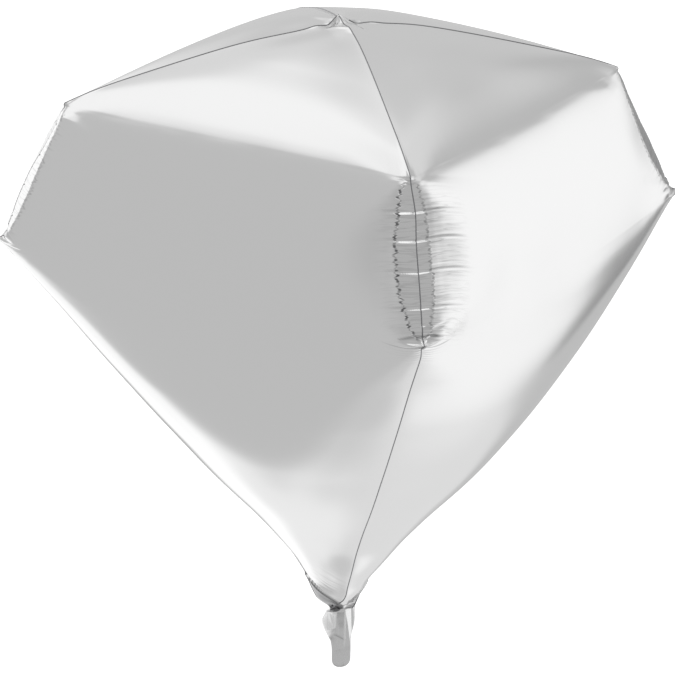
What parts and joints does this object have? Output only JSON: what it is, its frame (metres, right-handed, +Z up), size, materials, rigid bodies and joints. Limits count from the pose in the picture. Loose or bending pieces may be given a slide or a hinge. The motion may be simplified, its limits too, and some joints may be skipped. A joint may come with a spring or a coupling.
{
  "type": "foil balloon",
  "caption": "Inflated silver foil party balloon shaped like a cut gem, made of welded gores with seam beads, a gathered crown and a flat filling tail",
  "frame": {"origin": "on the balloon's axis at the throat, between the envelope and the filling tail, where a ribbon is tied round it", "axes": "+Z up along the axis from the tail to the crown, -Y toward the front seam, +X toward the right seam"},
  "size_m": [0.56, 0.56, 0.5848],
  "materials": {
    "foil": "metallised plastic film, smooth and mirror bright with a soft haze",
    "weld": "two heat-welded films, slightly duller than the foil",
    "tail_foil": "slack metallised plastic film, creased"
  },
  "bodies": {
    "root": {"gore_front_right": "foil", "gore_back_right": "foil", "gore_back_left": "foil", "gore_front_left": "foil", "seam_front": "weld", "seam_right": "weld", "seam_back": "weld", "seam_left": "weld", "crown_pucker": "foil", "tail_front": "tail_foil", "tail_back": "tail_foil"}
  },
  "joints": []
}
